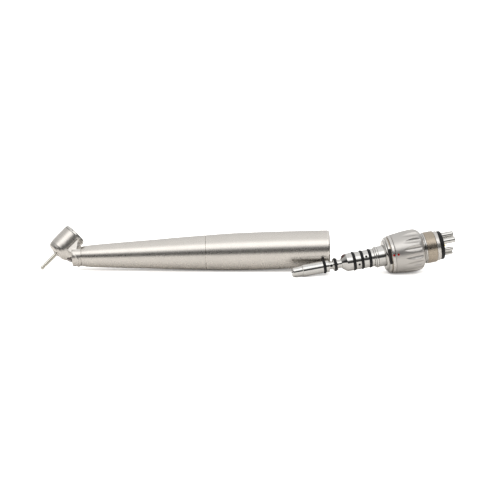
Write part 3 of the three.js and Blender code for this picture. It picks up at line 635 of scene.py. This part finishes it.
def make_handle():
    front = turned("front_sleeve_shell", [
        (-2.55, 3.2), (-2.55, 3.55), (0.05, 3.55), (0.05, 4.1, 0.03), (0.16, 4.19, 0.05),
        *handle_run(0.6, SEAM_X - 0.4), (SEAM_X - 0.14, 7.38, 0.05), (SEAM_X - 0.05, 7.3, 0.03),
        (SEAM_X - 0.05, 5.86), (50.1, 5.86), (50.1, 5.5), (42.6, 5.65), (3.9, 3.46), (1.2, 3.2),
    ], HANDLE)
    finish_piece(front, "handpiece", "satin_steel", "front_sleeve")
    rear = turned("rear_sleeve_shell", [
        (50.4, 5.1), (50.4, 5.75), (SEAM_X + 0.03, 5.75), (SEAM_X + 0.03, 7.3, 0.03),
        (SEAM_X + 0.12, 7.4, 0.05), *handle_run(SEAM_X + 0.4, HANDLE_LENGTH - 1.2),
        (HANDLE_LENGTH - 0.8, 7.86, 0.3), (HANDLE_LENGTH - 0.3, 7.68, 0.3),
        (HANDLE_LENGTH - 0.03, 7.35, 0.2), (HANDLE_LENGTH, 7.0, 0.1), (HANDLE_LENGTH, 6.72, 0.12),
        (77, 6.7), (64, 6.3), (56.4, 5.1),
    ], HANDLE)
    finish_piece(rear, "handpiece", "satin_steel", "rear_sleeve")
    socket = turned("coupling_socket_bore", [
        (62.6, 0), (62.6, 5.5), (84.1, 5.5), (86.1, 6.6), (105.85, 6.6, 0.1), (105.85, 5.2, 0.15),
        (105.5, 4.95, 0.1), (103.0, 4.95), (102.9, 5.15), (101.7, 5.15), (101.6, 4.95), (100.3, 4.95, 0.05),
        (100.1, 4.12, 0.05), (89.0, 4.12), (86.3, 3.1), (77.6, 3.1, 0.05), (77.4, 2.8), (64.6, 2.8),
        (64.6, 0),
    ], HANDLE)
    finish_piece(socket, "handpiece", "machined_steel", "coupling_socket")


# ---- coupler ----
LAND_R = 3.83
NOSE_R = 2.6
WAIST_R = 1.65  # between the two front seals
PORT_SHADE = 0.22  # how far under the surface the black disc that paints the shade inside a port starts
# Each seal's middle, outer radius and thickness.
SEALS = ((12.82, 3.0, 1.1), (17.5, 2.88, 1.25), (25.55, 4.1, 1.2), (29.05, 4.1, 1.2), (32.5, 4.1, 1.2))
CONE_TILT = math.radians(122.5)
CONE_FROM, CONE_TO = 20.3, 22.5
CONE_R = 2.3
LAMP_SIDES = 48
SNAP_X = 35.5  # the middle of the snap ring
SIDE_ANGLE = math.radians(22)  # the spray ports stand this far above and below the side
# Each port's place along the coupler, its radius and its angle from the side.
PORTS = ((27.4, 0.5, -SIDE_ANGLE), (30.75, 0.5, SIDE_ANGLE), (15.7, 0.6, 0), (15.7, 0.6, math.pi))


def make_probe():
    lands = []
    for x, _, _ in SEALS[2:]:
        lands += [(x - 0.62, LAND_R, 0.06), (x - 0.62, 3.0), (x + 0.62, 3.0), (x + 0.62, LAND_R, 0.06)]
    probe = turned("coupler_probe_polished", [
        (-0.5, 1.3), (-1.1, 1.5, 0.08), (-1.1, 1.8, 0.12), (-0.65, 2.05, 0.1), (3.25, 2.28, 0.08),
        (3.45, NOSE_R, 0.1), (12.2, NOSE_R, 0.06), (12.2, 2.1), (13.4, 2.1), (13.4, NOSE_R, 0.06),
        (14.7, NOSE_R, 0.06), (14.7, WAIST_R, 0.08), (16.7, WAIST_R, 0.08), (16.7, NOSE_R, 0.04),
        (16.9, NOSE_R, 0.05), (16.9, 2.0), (18.15, 2.0), (18.15, NOSE_R, 0.05), (18.5, NOSE_R, 0.08),
        (18.5, 1.85, 0.1), (CONE_FROM, 1.85, 0.1), (CONE_FROM, CONE_R, 0.08), (CONE_TO, LAND_R, 0.35), *lands,
        (34.1, LAND_R, 0.05), (34.15, 3.65, 0.04), (34.3, 3.65, 0.04), (34.4, 4.2, 0.08),
        (SNAP_X - 0.52, 4.2, 0.04), (SNAP_X - 0.52, 4.0), (SNAP_X + 0.52, 4.0), (SNAP_X + 0.52, 4.4, 0.08),
        (42.7, 4.5), (42.7, 1.3),
    ], COUPLER)
    tools = []
    for i, (x, r, angle) in enumerate(PORTS):
        outwards = Matrix.Rotation(-angle, 4, "X") @ Matrix.Rotation(-math.pi / 2, 4, "Z")
        hole = offset(COUPLER, x, 0, 0, outwards)
        tools.append(turned(f"port_{i}", [(0.9, 0), (0.9, r), (6, r), (6, 0)], hole, HOLE))
        # Painted shade: a black disc of the seals' rubber sits in each port, to make the drilled hole look deep
        # and dark.
        top = (LAND_R if x > CONE_TO else WAIST_R) - PORT_SHADE
        floor = turned(f"port_painted_shade_{i}", [
            (0.92, 0), (0.92, r - 0.01), (top - 0.1, r - 0.01, 0.05), (top, 0),
        ], hole, HOLE)
        finish_piece(floor, "coupler", "black_seal")
    tilt = Matrix.Rotation(-CONE_TILT, 4, "Y")
    seat = offset(COUPLER, (CONE_FROM + CONE_TO) / 2, 0, (CONE_R + LAND_R) / 2, tilt)
    tools.append(turned("lamp_seat", [(-1.45, 0), (-1.45, 1.08), (2, 1.08), (2, 0)], seat, LAMP_SIDES))
    carve(probe, *tools)
    finish_piece(probe, "coupler", "chrome", "coupler_probe")
    lens = turned("lamp_lens", [
        (-0.65, 0), (-0.65, 1.0), (0.1, 1.0, 0.1), (0.32, 0.72, 0.3), (0.42, 0),
    ], seat, LAMP_SIDES)
    finish_piece(lens, "coupler", "lens_glass", "light_lens")
    for i, (x, outer, thick) in enumerate(SEALS, 1):
        finish_piece(o_ring(f"probe_seal_{i}", x, outer, thick, COUPLER), "coupler", "black_seal",
                     f"probe_o_ring_{i}")
    ring = turned("snap_ring_wire", [
        (SNAP_X - 0.47, 4.1), (SNAP_X - 0.47, 4.62, 0.3), (SNAP_X + 0.47, 4.62, 0.3), (SNAP_X + 0.47, 4.1),
    ], COUPLER)
    finish_piece(ring, "coupler", "chrome", "snap_ring")


FLANGE_R = 7.65
FLANGE_FROM = 38.9
FLANGE_TO = 41.1
THREAD_FROM = 55.75
THREAD_TO = 60.95
THREAD_R = 6.75
THREAD_PITCH = 0.4
THREAD_TURNS = 9
BODY_TO = 62.75
STRIP_X = 40.35  # the middle of the contact strip


def make_body():
    body = turned("coupler_body_core", [
        (FLANGE_FROM, 4.6), (FLANGE_FROM, 6.3, 0.2), (FLANGE_FROM + 0.4, 6.6, 0.1),
        (FLANGE_FROM + 0.75, 6.64, 0.05), (FLANGE_FROM + 0.85, 7.3, 0.1), (FLANGE_FROM + 1.1, FLANGE_R, 0.15),
        (FLANGE_TO - 0.35, FLANGE_R, 0.1), (FLANGE_TO - 0.35, 6.3), (THREAD_FROM - 0.1, 6.3),
        (THREAD_FROM - 0.1, 5.8), (BODY_TO, 5.8), (BODY_TO, 5.4), (43.0, 5.4), (43.0, 4.6),
    ], COUPLER)
    recess = box_mesh((STRIP_X - 0.65, STRIP_X + 2), (-9, -6.95), (-3.45, 3.45))
    carve(body, mesh_object("strip_recess", *recess, COUPLER))
    finish_piece(body, "coupler", "machined_steel", "coupler_body")
    block = box_mesh((STRIP_X - 0.6, STRIP_X + 0.62), (-7.4, -6.98), (-3.3, 3.3))
    strip = mesh_object("contact_strip_block", *block, COUPLER)
    bevel = strip.modifiers.new("edge", "BEVEL")
    bevel.width = 0.12 * MM
    bevel.segments = 3
    finish_piece(strip, "coupler", "dark_plastic", "contact_strip")
    gap = turned("flange_gap_ring", [
        (FLANGE_TO - 0.33, 6.35), (FLANGE_TO - 0.33, 7.3, 0.05), (FLANGE_TO + 0.08, 7.45, 0.05),
        (FLANGE_TO + 0.08, 6.35),
    ], COUPLER)
    finish_piece(gap, "coupler", "bronze_thread")
    index = turned("index_ring_band", [
        (FLANGE_TO + 0.1, 6.4), (FLANGE_TO + 0.1, 7.85, 0.08), (FLANGE_TO + 0.3, 8.05, 0.12),
        (SLEEVE_FROM - 0.18, 8.14, 0.08), (SLEEVE_FROM - 0.1, 8.0, 0.05), (SLEEVE_FROM - 0.1, 6.4),
    ], COUPLER)
    finish_piece(index, "coupler", "satin_steel", "index_ring", material="ring_steel")


DOT_LIFT = 0.3  # how far the dots stand above the side's middle line
INDEX_DOT = (41.8, 8.13)  # each dot's place along the coupler and the radius of the surface there
SLEEVE_DOT = (43.75, 8.37)


def make_dot(name, x, surface, body, node):
    """A drop of enamel let into the side, with its top just above the surface."""
    turn = Matrix.Rotation(-math.pi / 2, 4, "Z")
    dot = turned(name, [
        (surface - 0.28, 0), (surface - 0.28, 0.46), (surface - 0.02, 0.46, 0.04), (surface + 0.01, 0.3, 0.1),
        (surface + 0.015, 0),
    ], offset(COUPLER, x, 0, DOT_LIFT, turn), HOLE)
    finish_piece(dot, body, "red_paint", node)


SLEEVE_FROM = 42.65
SLEEVE_TO = 55.6
FLUTES = 16
FLUTE_PHASE = math.radians(11)
FLUTE_FROM = 46.4
FLUTE_BOTTOM = 8.66  # the flutes' middle line starts at this radius and dips towards the hose
FLUTE_DIP = 0.05
FLUTE_CROWN = 1.2  # how much higher a flute is at its edges
FLUTE_SIDES = 30  # segments round each flute
SLEEVE_INSIDE = 6.7  # the flutes leave everything under this radius alone


def fluted(x, r, angle):
    """The radius of the adjusting sleeve, whose finger flutes widen from a point to the whole pitch."""
    if r < SLEEVE_INSIDE or x < FLUTE_FROM:
        return r
    pitch = 2 * math.pi / FLUTES
    off = abs((angle + FLUTE_PHASE + pitch / 2) % pitch - pitch / 2) / (pitch / 2)
    return min(r, FLUTE_BOTTOM - FLUTE_DIP * (x - FLUTE_FROM) + FLUTE_CROWN * off ** 2)


def make_adjusting_sleeve():
    profile = curve_through([
        (42.85, 8.2), (44.2, 8.37), (47.4, 8.75), (50.8, 9.0), (52.6, 8.96), (53.8, 8.65), (54.8, 7.95),
        (55.4, 7.1),
    ], 0.25)
    sleeve = turned("adjusting_sleeve_fluted", [
        (42.63, 6.4), (42.63, 8.02, 0.06), *profile, (SLEEVE_TO, SLEEVE_INSIDE, 0.1), (SLEEVE_TO, 6.4),
    ], COUPLER, FLUTES * FLUTE_SIDES, fluted)
    finish_piece(sleeve, "spray_ring", "satin_steel", "adjusting_sleeve", material="ring_steel")


def make_hose_end():
    lip = turned("hose_thread_lip", [
        (THREAD_FROM, 5.9), (THREAD_FROM, 6.2, 0.05), (THREAD_FROM + 0.3, 6.28, 0.05),
        (THREAD_FROM + 0.55, 6.62, 0.15), (THREAD_FROM + 0.98, 6.77, 0.1), (THREAD_FROM + 0.98, 5.9),
    ], COUPLER)
    finish_piece(lip, "coupler", "bronze_thread", "hose_thread_ring", material="chrome")
    outline = [
        (THREAD_FROM + 1, 5.9), (THREAD_FROM + 1, 6.55, 0.04), (THREAD_FROM + 1.15, 6.7, 0.04),
    ]
    for i in range(THREAD_TURNS):
        x = THREAD_FROM + 1.3 + i * THREAD_PITCH
        outline += [(x, THREAD_R, 0.03), (x + 0.5 * THREAD_PITCH, THREAD_R - 0.06, 0.05)]
    outline += [(THREAD_TO - 0.2, THREAD_R, 0.08), (THREAD_TO, 6.65), (THREAD_TO, 5.9)]
    thread = turned("hose_thread_band", outline, COUPLER)
    finish_piece(thread, "coupler", "bronze_thread", "hose_thread_ring")
    ring = turned("rear_ring_band", [
        (THREAD_TO + 0.1, 5.9), (THREAD_TO + 0.1, 6.2, 0.08), (THREAD_TO + 0.35, 6.32, 0.1),
        (BODY_TO - 0.25, 6.32, 0.15), (BODY_TO, 6.1, 0.1), (BODY_TO, 5.9),
    ], COUPLER)
    finish_piece(ring, "coupler", "satin_steel", "rear_ring", material="ring_steel")
    face = BODY_TO + 1.75
    gasket = turned("hose_gasket_disc", [
        (BODY_TO + 0.1, 0), (BODY_TO + 0.1, 6.1, 0.3), (face - 0.05, 6.1, 0.6), (face, 4.9, 0.1),
        (face - 0.25, 4.7, 0.1), (face - 0.25, 0),
    ], COUPLER)
    finish_piece(gasket, "coupler", "black_seal", "hose_gasket")


# Each stub's node, its place across the coupler, its radius, its wall and where it ends.
STUBS = (
    ("exhaust_stub", 0.59, 3.75, 1.3, 0.28, 70.1), ("drive_air_stub", -1.47, 1.53, 1.3, 0.28, 70.1),
    ("water_stub", -0.53, -2.27, 0.95, 0.25, 68.8), ("chip_air_stub", 1.19, -4.06, 0.85, 0.25, 68.8),
)
STUB_FROM = 59
PINS = (("contact_pin_left", -3.14, 0), ("contact_pin_right", -1.15, -0.45))
PIN_FROM, PIN_TO = 60, 65.5
PIN_R = 0.35


def make_stubs():
    for node, y, z, r, wall, end in STUBS:
        stub = turned(node + "_tube", [
            (STUB_FROM, r - wall), (STUB_FROM, r), (end - 0.35, r, 0.2), (end, r - 0.12, 0.08),
            (end, r - wall, 0.06),
        ], offset(COUPLER, 0, y, z), FINE)
        finish_piece(stub, "coupler", "chrome", node)
    for node, y, z in PINS:
        pin = turned(node + "_gold", [
            (PIN_FROM, 0), (PIN_FROM, PIN_R), (PIN_TO - 0.2, PIN_R, 0.2), (PIN_TO, 0.15, 0.1), (PIN_TO, 0),
        ], offset(COUPLER, 0, y, z), HOLE)
        finish_piece(pin, "coupler", "gold_contact", node)


# ---- setting ----
CAMERA_TARGET = Vector((0.08445, 0, 0.0032))  # what the camera looks at, from where the head's axes cross
CAMERA_DISTANCE = 0.9
CAMERA_ELEVATION = math.radians(15)
CAMERA_LENS = 151.5
CAMERA_SENSOR = 36


def make_camera():
    """A long lens in front of the row, a little above it."""
    camera = bpy.data.objects.new("camera", bpy.data.cameras.new("camera"))
    camera.data.lens = CAMERA_LENS
    camera.data.sensor_width = CAMERA_SENSOR
    camera.data.clip_start = 0.01
    camera.data.clip_end = 50
    back = Vector((0, -math.cos(CAMERA_ELEVATION), math.sin(CAMERA_ELEVATION)))
    camera.location = crossing + CAMERA_TARGET + back * CAMERA_DISTANCE
    camera.rotation_euler = (-back).to_track_quat("-Z", "Y").to_euler()
    bpy.context.scene.collection.objects.link(camera)
    bpy.context.scene.camera = camera


FLOOR_COLOUR = (0.93, 0.9, 0.86)
FLOOR_REFLECTED_SHADE = (0.06, 0.058, 0.055)
FLOOR_FADE_FROM = -0.24  # painted shade: the table that metal reflects darkens between these two distances, while the camera still sees it pale
FLOOR_FADE_TO = -0.12
FLOOR_HALF = 6.0
FLOOR_GLOW = 0.26  # what the open table gives off near the object
FLOOR_LIFT = 0.75  # what it gives off for the camera alone, which overexposes it
CONTACT_LIFT = 0.1  # the same, right under the object
CONTACT_REACH = 0.006  # how far the object's contact shadow reaches
CONTACT_OPEN = 0.42  # the share of open sky from which the lift is whole


def make_floor():
    """A pale table that overexposes to white, with a soft dark line where the object meets it. Its glow is painted
    light, held back where the object blocks the sky to paint the contact shade, and rays other than the camera's
    see it painted dark further in front.
    """
    half = FLOOR_HALF
    verts = [(-half, -half, 0), (half, -half, 0), (half, half, 0), (-half, half, 0)]
    floor = mesh_object("floor", verts, [(0, 1, 2, 3)], Matrix.Identity(4))
    n = Nodes("pale_floor")
    seen = n.add("ShaderNodeLightPath").outputs["Is Camera Ray"]
    split = n.add("ShaderNodeSeparateXYZ")
    n.link(n.add("ShaderNodeTexCoord").outputs["Object"], split.inputs[0])
    # Painted reflected shade: every ray but the camera's sees the table dark further in front.
    near = n.spread(split.outputs["Y"], 0, 1, FLOOR_FADE_FROM, FLOOR_FADE_TO)
    shown = n.add("ShaderNodeMath", operation="MAXIMUM")
    n.link(near, shown.inputs[0])
    n.link(seen, shown.inputs[1])
    n.link(n.mix(shown.outputs[0], FLOOR_REFLECTED_SHADE, FLOOR_COLOUR), n.shader.inputs["Base Color"])
    n.shader.inputs["Roughness"].default_value = 0.9
    n.shader.inputs["Emission Color"].default_value = (1, 1, 1, 1)
    open_sky = n.add("ShaderNodeAmbientOcclusion", Distance=CONTACT_REACH).outputs["AO"]
    glow = n.add("ShaderNodeMath", operation="MULTIPLY")
    n.link(open_sky, glow.inputs[0])
    n.link(n.spread(near, 0, FLOOR_GLOW, 0, 1), glow.inputs[1])
    lift = n.add("ShaderNodeMath", operation="MULTIPLY_ADD")
    n.link(seen, lift.inputs[0])
    n.link(n.spread(open_sky, CONTACT_LIFT, FLOOR_LIFT, 0.0, CONTACT_OPEN), lift.inputs[1])
    n.link(glow.outputs[0], lift.inputs[2])
    n.link(lift.outputs[0], n.shader.inputs["Emission Strength"])
    floor.data.materials.append(n.material)


def tent_ramp(nodes, height, stops):
    """A colour ramp over the direction's height, from straight down at 0 to straight up at 1."""
    made = nodes.new("ShaderNodeValToRGB")
    ramp = made.color_ramp
    ramp.elements[0].position, ramp.elements[1].position = stops[0][0], stops[-1][0]
    for position, _ in stops[1:-1]:
        ramp.elements.new(position)
    for element, (_, level) in zip(ramp.elements, stops):
        element.color = (level, level, level, 1)
    height.id_data.links.new(height.outputs["Result"], made.inputs["Fac"])
    return made.outputs["Color"]


# The tent's brightness against the direction's height, in front of the row and behind it.
FRONT_STOPS = (
    (0.0, 0.6), (0.5, 0.3), (0.51, 0.05), (0.68, 0.03), (0.77, 0.3), (0.82, 0.95), (0.95, 1.0), (1.0, 0.55),
)
BACK_STOPS = ((0.0, 0.6), (0.5, 0.42), (0.75, 0.46), (1.0, 0.55))
SIDE_FADE = (-0.5, -0.05, 0, 1)  # from the front stops to the back ones, over the direction's Y
END_FADE = (0.45, 0.9, 1.9, 1.0)  # the strength from the middle to the ends, over the direction's X


def make_light():
    """A white tent with a high softbox in front, an opening round the camera and dimmer ends."""
    world = bpy.data.worlds.new("tent")
    bpy.context.scene.world = world
    world.use_nodes = True
    nodes, link = world.node_tree.nodes, world.node_tree.links.new
    place = nodes.new("ShaderNodeTexCoord")
    split = nodes.new("ShaderNodeSeparateXYZ")
    link(place.outputs["Generated"], split.inputs[0])

    def fade(source, start, end, low, high):
        made = nodes.new("ShaderNodeMapRange")
        made.interpolation_type = "SMOOTHSTEP"
        for name, value in (("From Min", start), ("From Max", end), ("To Min", low), ("To Max", high)):
            made.inputs[name].default_value = value
        link(source, made.inputs["Value"])
        return made

    height = nodes.new("ShaderNodeMapRange")
    height.inputs["From Min"].default_value = -1
    link(split.outputs["Z"], height.inputs["Value"])
    front = tent_ramp(nodes, height, FRONT_STOPS)
    back = tent_ramp(nodes, height, BACK_STOPS)
    behind = fade(split.outputs["Y"], *SIDE_FADE)
    mix = nodes.new("ShaderNodeMix")
    mix.data_type = "RGBA"
    link(behind.outputs["Result"], mix.inputs["Factor"])
    link(front, mix.inputs[6])
    link(back, mix.inputs[7])
    sideways = nodes.new("ShaderNodeMath")
    sideways.operation = "ABSOLUTE"
    link(split.outputs["X"], sideways.inputs[0])
    ends = fade(sideways.outputs[0], *END_FADE)
    background = nodes["Background"]
    link(mix.outputs[2], background.inputs["Color"])
    link(ends.outputs["Result"], background.inputs["Strength"])


def colour_cad_nodes():
    """Every CAD node that still shows takes the material of its record slot."""
    slots = {row["node"]: row["material_slot"] for row in frame["record"]["subparts"]}
    for node, made in frame["nodes"].items():
        made.data.materials.clear()
        made.data.materials.append(MATERIALS[slots[node]])


make_camera()
colour_cad_nodes()
make_head()
make_window()
make_cap_and_button()
make_bur_and_spindle()
make_handle()
make_probe()
make_body()
make_dot("index_dot_enamel", *INDEX_DOT, "coupler", "index_dot")
make_dot("sleeve_dot_enamel", *SLEEVE_DOT, "spray_ring", "sleeve_dot")
make_adjusting_sleeve()
make_hose_end()
make_stubs()
make_floor()
make_light()
bpy.context.scene.view_settings.view_transform = "Standard"
